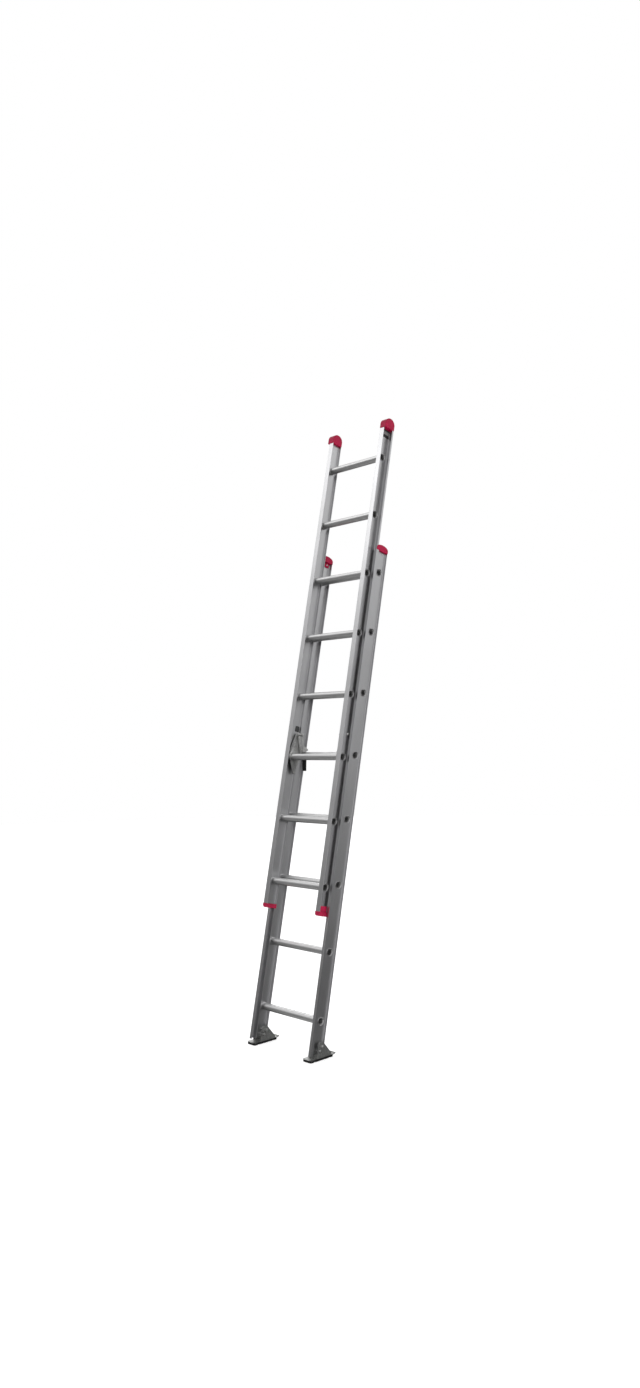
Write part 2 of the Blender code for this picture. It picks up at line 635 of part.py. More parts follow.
def build():
    add_rungs("base", BASE, BASE_WEB, BASE_RUNG_DEPTH, 0.0)
    add_rungs("fly", FLY, FLY_WEB, FLY_RUNG_DEPTH, FLY_RISE)
    pivot = level_to_rail(SHOE_PIVOT_BACK, SHOE_PIVOT_HEIGHT)
    stud = level_to_rail(SHOE_PIVOT_BACK + STUD_PLACE[0], SHOE_PIVOT_HEIGHT + STUD_PLACE[1])
    lock = (PIVOT_DEPTH, FLY_RISE + (LOCK_RUNG - 1) * PITCH + PIVOT_RISE)
    base_holes = section_holes(BASE_RUNG_DEPTH, 0.0,
                               [(pivot, BOLT_RADIUS), (stud, 0.0030), (RIVET_PLACE, 0.0020)])
    fly_holes = section_holes(FLY_RUNG_DEPTH, FLY_RISE, [(lock, BOLT_RADIUS)])
    for side, label in ((1, "right"), (-1, "left")):
        rail = add_rail("base_rail_" + label, side, BASE, base_section_outline(),
                        (BASE_BOTTOM, BASE_TOP), BASE_WEB, base_holes)
        cut_rail_foot(rail, side, BASE)
        add_rail("fly_rail_" + label, side, FLY, fly_section_outline(),
                 (FLY_BOTTOM, FLY_TOP), FLY_WEB, fly_holes)
        add_fly_top_cap(side, label)
        add_fly_bottom_cap(side, label)
        add_base_top_cap(side, label)
        add_shoe(side, label)
        add_lock(side, label)
    plate = outline_solid([box_outline((0.0040, 2.8300), (0.0560, 2.8710))],
                          (FLY_WEB[1] + CLEAR, FLY_WEB[1] + CLEAR + 0.0008), True)
    give_name(plate, "fly_label", FLY, "dark_label")


clear_scene()
PARTS = new_collection("extension_ladder")
CUTTERS = new_collection("cutters")
MATERIALS = {name: new_material(name) for name in COLOURS}
ORIGIN_BACK = SHOE_PIVOT_BACK
STUD_PLACE = (STUD_REACH * math.cos(STUD_ANGLE), STUD_REACH * math.sin(STUD_ANGLE))
RIVET_PLACE = (0.1000, 2.2280)
BASE = new_empty("lean", None, (0.0, -ORIGIN_BACK, DATUM_HEIGHT), LEAN - math.pi / 2)
FLY = new_empty("fly_slide_axis", BASE, (0.0, 0.0, 0.0))
build()
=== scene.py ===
"""Looks for the two-section extension ladder: finer pieces, materials, floor, light and camera.

Each finer piece is drawn from sections of the CAD node it stands for.  The polygon arcs of a
section are made round and its edges are eased.  The sizes set here are those of details that the
CAD leaves plain, and those of the rungs, which are drawn anew.
"""
import json
import math

import bmesh
import bpy
from mathutils import Matrix, Vector, geometry


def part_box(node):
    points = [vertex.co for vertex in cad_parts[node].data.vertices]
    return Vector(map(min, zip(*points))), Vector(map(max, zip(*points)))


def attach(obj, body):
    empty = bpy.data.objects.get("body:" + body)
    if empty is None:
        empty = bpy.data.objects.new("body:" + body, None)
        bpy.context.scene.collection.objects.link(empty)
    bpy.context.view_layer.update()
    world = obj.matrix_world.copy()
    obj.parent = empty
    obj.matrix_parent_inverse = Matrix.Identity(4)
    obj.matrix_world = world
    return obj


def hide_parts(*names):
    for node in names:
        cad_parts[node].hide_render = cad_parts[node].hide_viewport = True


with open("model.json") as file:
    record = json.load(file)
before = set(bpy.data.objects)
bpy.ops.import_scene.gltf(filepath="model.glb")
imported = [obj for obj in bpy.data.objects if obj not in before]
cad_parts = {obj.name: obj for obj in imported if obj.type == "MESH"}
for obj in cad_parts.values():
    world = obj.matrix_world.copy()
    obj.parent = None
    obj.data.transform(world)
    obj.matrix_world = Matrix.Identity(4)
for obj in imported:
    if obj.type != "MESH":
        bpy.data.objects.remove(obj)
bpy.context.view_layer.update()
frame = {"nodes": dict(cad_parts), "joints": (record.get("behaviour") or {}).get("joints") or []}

JOINTS = {joint["name"]: joint for joint in frame["joints"]}
SLIDE = Vector(JOINTS["fly_slide"]["axis"])
LEVEL = Matrix.Identity(4)
RAIL = Matrix.Rotation(math.atan2(SLIDE.z, SLIDE.y) - math.pi / 2, 4, "X")

SIDES = (("left", -1), ("right", 1))
SECTIONS = ("base", "fly")
RUNGS = 8

# Sizes are in metres throughout
CLEAR = 0.0003                 # gap between a cap and the rail inside it
BEYOND = 0.02                  # how far a cutter reaches past what it cuts
TOOL_EASE = 0.0001             # easing on the edges of a cutter

# Outlines
CORNER = math.radians(40)      # a sharper turn is a corner, a softer one is part of an arc
LONGEST_CHORD = 0.0118         # a longer side is straight even between soft turns
ARC_SPLIT = 4                  # finer sides for each side of a polygon arc
FILLET_STEPS = 3
SHARP = math.radians(32)       # edges that bend more than this stay crisp in the shading

# Rails and caps
PROFILE_DROP = 0.0098          # the plain profile of a rail is read this far below its top
HALF_WEB = 0.0010
CAP_SKIN = 0.0007              # a cap's side wall is read this far inside its face

# Rungs
RUNG_RADIUS = 0.0175
RUNG_FLAT = 0.0140             # tread above the rung's centre
SWAGE = 0.0020                 # how far the ends are spread
TREAD_RIBS = 6
RIB_DEPTH = 0.0007

# Locks and shoes
LOCK_SHEET = 0.0025
SKIRT = 0.0090                 # how far the lock guard's front edge is turned in
SKIRT_SHEET = 0.0016
WIRE_RADIUS = 0.0008
SPRING_TURNS, TURN_STEPS = 4, 24
SHOE_SHEET = 0.0030
PLATE_CORNER = 0.0105          # round corners of the shoe's plate from above
PAD_CORNER = 0.0095


# ------------------------------------------------------------------------ outlines

def triples(loop):
    return zip(loop[-1:] + loop[:-1], loop, loop[1:] + loop[:1])


def turn(before, here, after):
    """How far the outline turns at a point, in radians, positive to the left."""
    come, go = here - before, after - here
    return math.atan2(come.cross(go), come.dot(go))


def turned_by(direction, angle):
    cosine, sine = math.cos(angle), math.sin(angle)
    return Vector((direction.x * cosine - direction.y * sine,
                   direction.x * sine + direction.y * cosine))


def straightened(loop):
    """Drops repeated points and points in the middle of a straight side."""
    apart = [here for before, here, _ in triples(loop) if (here - before).length > 2e-5]
    return [here for before, here, after in triples(apart)
            if abs(turn(before, here, after)) > math.radians(0.8)]


def section(node, space, axis, at):
    """Closed outlines where the plane axis=at cuts a CAD node, in the other two coordinates."""
    shape = bmesh.new()
    shape.from_mesh(frame["nodes"][node].data)
    bmesh.ops.transform(shape, matrix=space.inverted(), verts=shape.verts)
    bmesh.ops.remove_doubles(shape, verts=shape.verts, dist=2e-6)
    normal = Vector([float(axis == i) for i in range(3)])
    everything = shape.verts[:] + shape.edges[:] + shape.faces[:]
    cut = bmesh.ops.bisect_plane(shape, geom=everything, dist=1e-7,
                                 plane_co=normal * at, plane_no=normal)["geom_cut"]
    edges = dict.fromkeys(item for item in cut if isinstance(item, bmesh.types.BMEdge))
    first, second = [i for i in range(3) if i != axis]
    loops = []
    while edges:
        start, here = edges.popitem()[0].verts
        loop = [start]
        while here is not start:
            loop.append(here)
            edge = next(item for item in here.link_edges if item in edges)
            del edges[edge]
            here = edge.other_vert(here)
        loops.append(straightened([Vector((v.co[first], v.co[second])) for v in loop]))
    shape.free()
    return loops


def arcs_made_round(loop):
    """The outline with its polygon arcs split finer: (point, is it a sharp corner)."""
    count = len(loop)
    turns = [turn(*points) for points in triples(loop)]
    soft = [abs(angle) < CORNER for angle in turns]
    sides = [after - here for _, here, after in triples(loop)]
    curved = [side.length < LONGEST_CHORD and (soft[i] or soft[(i + 1) % count])
              for i, side in enumerate(sides)]

    def tangent(i):
        come, go = sides[i - 1], sides[i]
        if not curved[i - 1]:
            return come.normalized()
        if not curved[i]:
            return go.normalized()
        share = come.length / (come.length + go.length)
        return turned_by(come.normalized(), turns[i] * share)

    points = []
    for i, here in enumerate(loop):
        points.append((here, not soft[i]))
        if not curved[i]:
            continue
        following = (i + 1) % count
        chord = sides[i].normalized()
        leave = tangent(i) if soft[i] else None
        arrive = tangent(following) if soft[following] else None
        if leave is None:
            leave = 2 * chord.dot(arrive) * chord - arrive
        if arrive is None:
            arrive = 2 * chord.dot(leave) * chord - leave
        length = sides[i].length
        for step in range(1, ARC_SPLIT):
            t = step / ARC_SPLIT
            place = (2 * t**3 - 3 * t**2 + 1) * here + (3 * t**2 - 2 * t**3) * loop[following]
            pull = (t**3 - 2 * t**2 + t) * leave + (t**3 - t**2) * arrive
            points.append((place + length * pull, False))
    return points


def rounded(loop, fillet):
    """The outline with round arcs and its sharp corners filleted."""
    marked = arcs_made_round(loop)
    points = []
    for (before, _), (here, sharp), (after, _) in triples(marked):
        if not sharp or fillet == 0:
            points.append(here)
            continue
        come, go = before - here, after - here
        bend = math.pi - come.angle(go)
        reach = min(fillet * math.tan(bend / 2), 0.45 * come.length, 0.45 * go.length)
        start, end = here + come.normalized() * reach, here + go.normalized() * reach
        for step in range(FILLET_STEPS + 1):
            t = step / FILLET_STEPS
            points.append((1 - t)**2 * start + 2 * t * (1 - t) * here + t**2 * end)
    return points


def area(loop):
    return sum(here.cross(after) for _, here, after in triples(loop)) / 2


def inset(loop, distance):
    """Moves every side of an outline to its left."""
    moved = []
    for before, here, after in triples(loop):
        come, go = (here - before).normalized(), (after - here).normalized()
        first, second = Vector((-come.y, come.x)), Vector((-go.y, go.x))
        middle = (first + second).normalized()
        moved.append(here + middle * distance / max(middle.dot(first), 0.5))
    return moved


def inside(point, loops):
    """Even-odd test, so that holes count as outside."""
    hit = False
    for loop in loops:
        for _, a, b in triples(loop):
            if (a.y > point.y) != (b.y > point.y):
                if point.x < a.x + (point.y - a.y) * (b.x - a.x) / (b.y - a.y):
                    hit = not hit
    return hit


def fill(loops):
    """Triangles between the outlines, as indices into their points in order."""
    points, edges = [], []
    for loop in loops:
        start = len(points)
        points += loop
        edges += [(start + i, start + (i + 1) % len(loop)) for i in range(len(loop))]
    verts, _, faces, origins, _, _ = geometry.delaunay_2d_cdt(points, edges, [], 0, 1e-9)
    kept = []
    for face in faces:
        middle = sum((verts[i] for i in face), Vector((0, 0))) / len(face)
        if inside(middle, loops):
            kept.append([origins[i][0] for i in face])
    return kept


# -------------------------------------------------------------------------- shapes

def add_slab(shape, loops, low, high, ease, across=True, steps=2):
    """Adds a plate between low and high with its edges eased to a radius.

    across=True takes outlines in depth and height and a plate along X; across=False takes
    outlines in X and depth and a bar along the height.
    """
    outer = max(loops, key=lambda loop: abs(area(loop)))
    loops = [loop if (area(loop) > 0) == (loop is outer) else loop[::-1] for loop in loops]
    levels = []
    for i in range(steps, -1, -1):
        angle = math.pi / 2 * i / steps
        levels.append((ease * (1 - math.sin(angle)), ease * (1 - math.cos(angle))))
    levels = [(low + rise, pull) for rise, pull in levels] + \
             [(high - rise, pull) for rise, pull in levels[::-1]]
    rings = []
    for level, pull in levels:
        row = []
        for loop in loops:
            spots = inset(loop, pull) if pull > 0 else loop
            row.append([shape.verts.new((level, p.x, p.y) if across else (p.x, p.y, level))
                        for p in spots])
        rings.append(row)
    for lower, upper in zip(rings, rings[1:]):
        for ring, following in zip(lower, upper):
            for i in range(len(ring)):
                j = (i + 1) % len(ring)
                shape.faces.new((ring[i], ring[j], following[j], following[i]))
    triangles = fill(loops)
    for row in (rings[0], rings[-1]):
        flat = [vert for ring in row for vert in ring]
        for triangle in triangles:
            shape.faces.new([flat[i] for i in triangle])
    return shape


def box_loop(low, high):
    return [Vector(low), Vector((high[0], low[1])), Vector(high), Vector((low[0], high[1]))]


def add_box(shape, low, high, ease):
    return add_slab(shape, [box_loop(low[1:], high[1:])], low[0], high[0], ease)


def revolve(shape, profile, centre, steps=32):
    """Adds a turned solid about X through centre: the profile lists (distance along X, radius)."""
    angles = [2 * math.pi * i / steps for i in range(steps)]
    rings = []
    for along, radius in profile:
        if radius < 1e-6:
            rings.append([shape.verts.new((along, centre[0], centre[1]))])
            continue
        rings.append([shape.verts.new((along, centre[0] + radius * math.cos(angle),
                                       centre[1] + radius * math.sin(angle)))
                      for angle in angles])
    for ring, following in zip(rings, rings[1:]):
        for i in range(steps):
            j = (i + 1) % steps
            corners = {ring[i % len(ring)]: 0, ring[j % len(ring)]: 0,
                       following[j % len(following)]: 0, following[i % len(following)]: 0}
            shape.faces.new(list(corners))
    return shape


def piece_from(shape, name, space):
    bmesh.ops.recalc_face_normals(shape, faces=shape.faces)
    mesh = bpy.data.meshes.new(name)
    shape.to_mesh(mesh)
    shape.free()
    piece = bpy.data.objects.new(name, mesh)
    bpy.context.scene.collection.objects.link(piece)
    piece.matrix_world = space
    return piece


def apply_modifiers(piece):
    evaluated = piece.evaluated_get(bpy.context.evaluated_depsgraph_get())
    mesh = bpy.data.meshes.new_from_object(evaluated)
    piece.modifiers.clear()
    piece.data = mesh
    return piece


def join(piece, shape):
    """Adds a shape drawn in the piece's own space to its mesh."""
    shape.from_mesh(piece.data)
    bmesh.ops.recalc_face_normals(shape, faces=shape.faces)
    shape.to_mesh(piece.data)
    shape.free()
    return piece


def combine(piece, tool_shape, operation):
    """Cuts a piece with a shape in the piece's own space, or keeps what the two share."""
    tool = piece_from(tool_shape, "tool", piece.matrix_world.copy())
    modifier = piece.modifiers.new("combine", "BOOLEAN")
    modifier.operation = operation
    modifier.solver = "EXACT"
    modifier.object = tool
    apply_modifiers(piece)
    bpy.data.objects.remove(tool, do_unlink=True)
    return piece


def dress(piece, body, slot, material, *nodes):
    """Shades a finished piece, hangs it on the empty of the body it rides on, gives it its
    materials and hides the CAD nodes it stands for.
    """
    piece.data.materials.clear()
    for each in material if isinstance(material, tuple) else (material,):
        piece.data.materials.append(each)
    piece.data.shade_smooth()
    piece.data.set_sharp_from_angle(angle=SHARP)
    weights = piece.modifiers.new("weights", "WEIGHTED_NORMAL")
    weights.keep_sharp = True
    weights.weight = 80
    apply_modifiers(piece)
    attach(piece, body)
    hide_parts(*nodes)
    return piece


def node_box(node, space):
    """Lowest and highest corner of a CAD node, measured along a space's own directions."""
    turned = space.inverted()
    points = [turned @ vertex.co for vertex in frame["nodes"][node].data.vertices]
    return (Vector([min(p[i] for p in points) for i in range(3)]),
            Vector([max(p[i] for p in points) for i in range(3)]))


# ----------------------------------------------------------------------- materials

def new_material(name):
    material = bpy.data.materials.new(name)
    material.use_nodes = True
    nodes = material.node_tree.nodes
    shader = nodes["Principled BSDF"]
    place = nodes.new("ShaderNodeTexCoord").outputs["Object"]
    return material, nodes, material.node_tree.links, shader, place


def noise(nodes, links, place, scale, detail=4.0, roughness=0.55):
    """Noise with its own scale along each direction of the piece."""
    mapping = nodes.new("ShaderNodeMapping")
    mapping.inputs["Scale"].default_value = scale
    links.new(place, mapping.inputs["Vector"])
    texture = nodes.new("ShaderNodeTexNoise")
    texture.inputs["Scale"].default_value = 1.0
    texture.inputs["Detail"].default_value = detail
    texture.inputs["Roughness"].default_value = roughness
    links.new(mapping.outputs["Vector"], texture.inputs["Vector"])
    return texture.outputs["Fac"]


def ramp(nodes, links, source, stops):
    """Maps 0..1 through colour stops: (position, (r, g, b))."""
    node = nodes.new("ShaderNodeValToRGB")
    elements = node.color_ramp.elements
    while len(elements) < len(stops):
        elements.new(0.5)
    for element, (position, colour) in zip(elements, stops):
        element.position = position
        element.color = (*colour, 1.0)
    links.new(source, node.inputs["Fac"])
    return node.outputs["Color"]


def span(nodes, links, source, low, high, start=0.0, end=1.0):
    """Maps start..end to low..high."""
    node = nodes.new("ShaderNodeMapRange")
    for name, value in (("From Min", start), ("From Max", end), ("To Min", low), ("To Max", high)):
        node.inputs[name].default_value = value
    links.new(source, node.inputs["Value"])
    return node.outputs["Result"]


def mix(nodes, links, kind, amount, first, second):
    """Blends two colours; amount, first and second are sockets or plain values."""
    node = nodes.new("ShaderNodeMix")
    node.data_type = "RGBA"
    node.blend_type = kind
    sockets = node.inputs[0], node.inputs[6], node.inputs[7]      # factor, A and B of a colour mix
    for socket, value in zip(sockets, (amount, first, second)):
        if isinstance(value, bpy.types.NodeSocket):
            links.new(value, socket)
        else:
            socket.default_value = value
    return node.outputs[2]


def bump(nodes, links, shader, height, strength, distance):
    node = nodes.new("ShaderNodeBump")
    node.inputs["Strength"].default_value = strength
    node.inputs["Distance"].default_value = distance
    links.new(height, node.inputs["Height"])
    links.new(node.outputs["Normal"], shader.inputs["Normal"])


def grey(value):
    return (value, value, value)


def aluminium(name, along, tone, low, high):
    """Extruded metal with fine die lines along one direction, soft blotches and scuffs."""
    material, nodes, links, shader, place = new_material(name)
    lines_scale = [1100.0, 1100.0, 1100.0]
    lines_scale[along] = 5.0
    scuff_scale = [260.0, 260.0, 260.0]
    scuff_scale[along] = 38.0
    lines = noise(nodes, links, place, lines_scale, 3.0)
    blotches = noise(nodes, links, place, (7.0, 7.0, 4.0), 5.0)
    scuffs = noise(nodes, links, place, scuff_scale, 6.0, 0.7)
    worn = span(nodes, links, scuffs, 0.0, 1.0, 0.60, 0.74)
    base = ramp(nodes, links, blotches, [(0.30, tuple(c * 0.90 for c in tone)), (0.70, tone)])
    streaked = mix(nodes, links, "MULTIPLY", 0.55, base,
                   ramp(nodes, links, lines, [(0.25, grey(0.80)), (0.75, grey(1.0))]))
    marked = mix(nodes, links, "MIX", worn, streaked, (*[c * 0.72 for c in tone], 1.0))
    links.new(marked, shader.inputs["Base Color"])
    links.new(span(nodes, links, lines, low, high, 0.25, 0.75), shader.inputs["Roughness"])
    shader.inputs["Metallic"].default_value = 1.0
    bump(nodes, links, shader, lines, 0.12, 0.0004)
    return material


def painted_shade_bore(name):
    """Painted shade inside a rung's bore: dull metal coloured near black where little light
    reaches, with a mottled tone.
    """
    material, nodes, links, shader, place = new_material(name)
    shade_mottle = noise(nodes, links, place, (40.0, 90.0, 90.0), 5.0)
    # Near-black base colour: painted shade for the hollow of the tube
    links.new(ramp(nodes, links, shade_mottle, [(0.3, grey(0.006)), (0.7, grey(0.016))]),
              shader.inputs["Base Color"])
    links.new(span(nodes, links, shade_mottle, 0.55, 0.8), shader.inputs["Roughness"])
    shader.inputs["Metallic"].default_value = 1.0
    return material


def steel(name, tone, low, high, grain):
    """Zinc-plated or stamped steel: mottled spangle, darker stains, fine pits."""
    material, nodes, links, shader, place = new_material(name)
    spangle = nodes.new("ShaderNodeTexVoronoi")
    spangle.inputs["Scale"].default_value = grain
    links.new(place, spangle.inputs["Vector"])
    stains = noise(nodes, links, place, (60.0, 60.0, 60.0), 6.0, 0.65)
    base = ramp(nodes, links, stains, [(0.32, tuple(c * 0.70 for c in tone)), (0.62, tone)])
    flakes = ramp(nodes, links, spangle.outputs["Color"], [(0.25, grey(0.70)), (0.75, grey(1.0))])
    mottled = mix(nodes, links, "MULTIPLY", 0.6, base, flakes)
    links.new(mottled, shader.inputs["Base Color"])
    links.new(span(nodes, links, stains, high, low, 0.3, 0.7), shader.inputs["Roughness"])
    shader.inputs["Metallic"].default_value = 1.0
    pits = noise(nodes, links, place, (900.0, 900.0, 900.0), 3.0)
    bump(nodes, links, shader, pits, 0.10, 0.0003)
    return material


def plastic(name, dark, light, low, high, grain, strength):
    """Moulded plastic or rubber: fine grain, slightly uneven colour and gloss."""
    material, nodes, links, shader, place = new_material(name)
    cloud = noise(nodes, links, place, (35.0, 35.0, 35.0), 5.0)
    scuffs = noise(nodes, links, place, (300.0, 300.0, 140.0), 6.0, 0.7)
    base = ramp(nodes, links, cloud, [(0.35, dark), (0.65, light)])
    rubbed = span(nodes, links, scuffs, 0.0, 0.45, 0.60, 0.78)
    lifted = mix(nodes, links, "MIX", rubbed, base, (*[c * 0.85 + 0.02 for c in light], 1.0))
    links.new(lifted, shader.inputs["Base Color"])
    links.new(span(nodes, links, cloud, low, high, 0.3, 0.7), shader.inputs["Roughness"])
    shader.inputs["Specular IOR Level"].default_value = 0.25
    grains = noise(nodes, links, place, (grain, grain, grain), 2.0)
    bump(nodes, links, shader, grains, strength, 0.0003)
    return material


def label_print_and_cap_shadow(name, low, high):
    """Printed film with plain stripes up its height and no lettering; the dark stripe at its top is
    painted shadow of the red cap above it.
    """
    material, nodes, links, shader, place = new_material(name)
    parts = nodes.new("ShaderNodeSeparateXYZ")
    links.new(place, parts.inputs["Vector"])
    rise = span(nodes, links, parts.outputs["Z"], 0.0, 1.0, low, high)
    print_bands_and_cap_shadow = nodes.new("ShaderNodeValToRGB")
    print_bands_and_cap_shadow.color_ramp.interpolation = "CONSTANT"
    # Black at the bottom and grey above it are print; the two dark stops from 0.78 to the top are
    # painted shadow of the red cap over the label
    stops = [(0.0, grey(0.006)), (0.36, grey(0.20)), (0.78, grey(0.050)), (0.92, grey(0.030))]
    while len(print_bands_and_cap_shadow.color_ramp.elements) < len(stops):
        print_bands_and_cap_shadow.color_ramp.elements.new(0.5)
    for element, (position, colour) in zip(print_bands_and_cap_shadow.color_ramp.elements, stops):
        element.position = position
        element.color = (*colour, 1.0)
    links.new(rise, print_bands_and_cap_shadow.inputs["Fac"])
    wear = noise(nodes, links, place, (160.0, 160.0, 160.0), 6.0, 0.7)
    faded = mix(nodes, links, "MIX", span(nodes, links, wear, 0.0, 0.35, 0.62, 0.80),
                print_bands_and_cap_shadow.outputs["Color"], (0.30, 0.30, 0.30, 1.0))
    links.new(faded, shader.inputs["Base Color"])
    links.new(span(nodes, links, wear, 0.34, 0.55), shader.inputs["Roughness"])
    return material


ALUMINIUM = (0.640, 0.640, 0.650)
RAIL_METAL = aluminium("rail_metal", 2, ALUMINIUM, 0.28, 0.40)
RUNG_METAL = aluminium("rung_metal", 0, (0.80, 0.80, 0.80), 0.38, 0.52)
# Near-black metal for the insides of the rungs: painted shade
BORE_PAINTED_SHADE = painted_shade_bore("painted_shade_bore")
ZINC = steel("zinc_plate", (0.82, 0.82, 0.81), 0.26, 0.38, 420.0)
LOCK_STEEL = steel("lock_steel", (0.74, 0.74, 0.73), 0.32, 0.46, 300.0)
SHOE_STEEL = steel("shoe_steel", (0.47, 0.475, 0.465), 0.40, 0.55, 260.0)
RED = plastic("red_plastic", (0.330, 0.002, 0.036), (0.430, 0.004, 0.052), 0.42, 0.54, 1400.0, 0.10)
BLACK = plastic("black_plastic", grey(0.006), grey(0.010), 0.40, 0.55, 1200.0, 0.12)
KEEPER = plastic("keeper_plastic", grey(0.055), grey(0.075), 0.45, 0.60, 1200.0, 0.10)
RUBBER = plastic("black_rubber", grey(0.007), grey(0.014), 0.70, 0.88, 700.0, 0.30)


# ------------------------------------------------------------------ rails and rungs

def web_middle(part):
    """X of the middle of the webs: a flared rung end stands 2 mm off a 2 mm web."""
    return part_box(part + "_rung_1")[1].x - 0.0030


def add_rail(part, label, side):
    node = f"{part}_rail_{label}"
    low, high = node_box(node, RAIL)
    profile = [rounded(loop, 0.0007) for loop in section(node, RAIL, 2, high.z - PROFILE_DROP)]
    level_foot = part == "base"
    bottom = low.z - 0.010 if level_foot else low.z         # spare length for the level cut
    shape = add_slab(bmesh.new(), profile, bottom, high.z, 0.0003, across=False)
    if level_foot:
        trim_level(shape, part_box(node)[0].z)
    piece = piece_from(shape, node + "_extrusion", RAIL)
    middle = web_middle(part)
    loops = section(node, RAIL, 0, side * middle)
    web = max(loops, key=lambda loop: abs(area(loop)))
    tools = bmesh.new()
    near, far = side * middle - 0.004, side * middle + 0.004
    for loop in loops:
        if loop is not web and inside(loop[0], [web]):
            add_slab(tools, [rounded(loop, 0.0006)], near, far, TOOL_EASE)
    combine(piece, tools, "DIFFERENCE")
    return dress(piece, part + "_section", "mill_aluminium", RAIL_METAL, node)


def trim_level(shape, height):
    """Cuts the foot of a rail off level with the ground."""
    up = RAIL.inverted().to_3x3() @ Vector((0, 0, 1))
    everything = shape.verts[:] + shape.edges[:] + shape.faces[:]
    cut = bmesh.ops.bisect_plane(shape, geom=everything, plane_co=up * height, plane_no=up,
                                 clear_inner=True)["geom_cut"]
    bmesh.ops.holes_fill(shape, edges=[e for e in cut if isinstance(e, bmesh.types.BMEdge)])


def rung_ring(grow, ribs):
    """D outline as (back, up), grown outwards, its tread ribbed by ribs from 0 to 1."""
    radius, flat = RUNG_RADIUS + grow, RUNG_FLAT + grow
    edge = math.asin(flat / radius)
    points = []
    for i in range(41):
        angle = edge - (math.pi + 2 * edge) * i / 40
        points.append((radius * math.cos(angle), radius * math.sin(angle)))
    ease = 0.0007
    points[0] = (points[0][0] + ease * 0.35, flat - ease)
    points[-1] = (points[-1][0] - ease * 0.35, flat - ease)
    half = radius * math.cos(edge) - ease
    width = 2 * half / TREAD_RIBS
    valley = flat - RIB_DEPTH * ribs
    for rib in range(TREAD_RIBS):
        start = -half + rib * width
        points += [(start + 0.02 * width, flat), (start + 0.55 * width, flat),
                   (start + 0.66 * width, valley), (start + 0.91 * width, valley)]
    points.append((half - 0.02 * width, flat))
    return points


def add_rung(part, number):
    """A hollow tube with a ribbed tread, swaged into both webs and flared outside them."""
    node = f"{part}_rung_{number}"
    low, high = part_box(node)
    centre = Vector((0.0, (low.y + high.y) / 2, high.z - RUNG_FLAT - SWAGE))
    web = web_middle(part)
    inner, outer = web - HALF_WEB - CLEAR, web + HALF_WEB + CLEAR
    # From the tread out to the flared mouth: (distance from the middle, growth, depth of ribs)
    half = [(inner - 0.0140, 0.0, 1.0), (inner - 0.0118, 0.0, 0.0), (inner - 0.0049, 0.0, 0.0),
            (inner - 0.0043, 0.0009, 0.0), (inner - 0.0034, 0.0018, 0.0),
            (inner - 0.0022, SWAGE, 0.0), (inner - 0.0009, 0.0019, 0.0),
            (inner - 0.0001, 0.0015, 0.0), (inner, 0.0, 0.0), (outer, 0.0, 0.0),
            (outer, 0.0018, 0.0), (outer + 0.0006, SWAGE, 0.0), (outer + 0.0013, 0.0018, 0.0),
            (outer + 0.0017, 0.0012, 0.0), (outer + 0.0015, 0.0005, 0.0),
            (outer + 0.0006, -0.0002, 0.0), (outer - 0.0012, -0.0012, 0.0),
            (outer - 0.0032, -0.0021, 0.0), (outer - 0.0056, -0.0028, 0.0)]
    bore = outer - 0.0057
    rows = [(-x, grow, ribs) for x, grow, ribs in half[::-1]] + half + \
           [(bore, -0.0028, 0.0), (-bore, -0.0028, 0.0)]
    shape = bmesh.new()
    rings = [[shape.verts.new((x, back, up)) for back, up in rung_ring(grow, ribs)]
             for x, grow, ribs in rows]
    for row, (ring, following) in enumerate(zip(rings, rings[1:] + rings[:1])):
        # Faces inside the tube take the second material, the near-black painted shade of the bore
        in_bore = row >= len(rings) - 4 or row == 0
        for i in range(len(ring)):
            j = (i + 1) % len(ring)
            face = shape.faces.new((ring[i], ring[j], following[j], following[i]))
            face.material_index = 1 if in_bore else 0
    piece = piece_from(shape, node + "_tube", Matrix.Translation(centre))
    return dress(piece, part + "_section", "mill_aluminium", (RUNG_METAL, BORE_PAINTED_SHADE), node)


# ------------------------------------------------------------------------ red caps

def rail_room(part, label, bottom):
    """The room that the end of a rail needs inside its cap: its profile and a little clearance."""
    node = f"{part}_rail_{label}"
    high = node_box(node, RAIL)[1]
    grown = []
    for loop in section(node, RAIL, 2, high.z - PROFILE_DROP):
        plain = [here for before, here, _ in triples(loop) if (here - before).length > 2 * CLEAR]
        grown.append(inset(plain if area(plain) > 0 else plain[::-1], -CLEAR))
    return add_slab(bmesh.new(), grown, bottom, high.z + CLEAR, TOOL_EASE, across=False)


def cap_blank(node, wall, fillet, ease, name):
    """The outside of a cap, from the section through its side wall, with soft edges."""
    low, high = node_box(node, RAIL)
    loops = [rounded(loop, fillet) for loop in section(node, RAIL, 0, wall)]
    return piece_from(add_slab(bmesh.new(), loops, low.x, high.x, ease, steps=4), name, RAIL)


def add_fly_top_cap(label, side):
    node = "fly_top_cap_" + label
    low, high = node_box(node, RAIL)
    wall = side * (min(abs(low.x), abs(high.x)) + CAP_SKIN)
    cap = cap_blank(node, wall, 0.0, 0.0028, node + "_moulding")
    combine(cap, rail_room("fly", label, low.z - BEYOND), "DIFFERENCE")
    return dress(cap, "fly_section", "red_end_cap", RED, node)


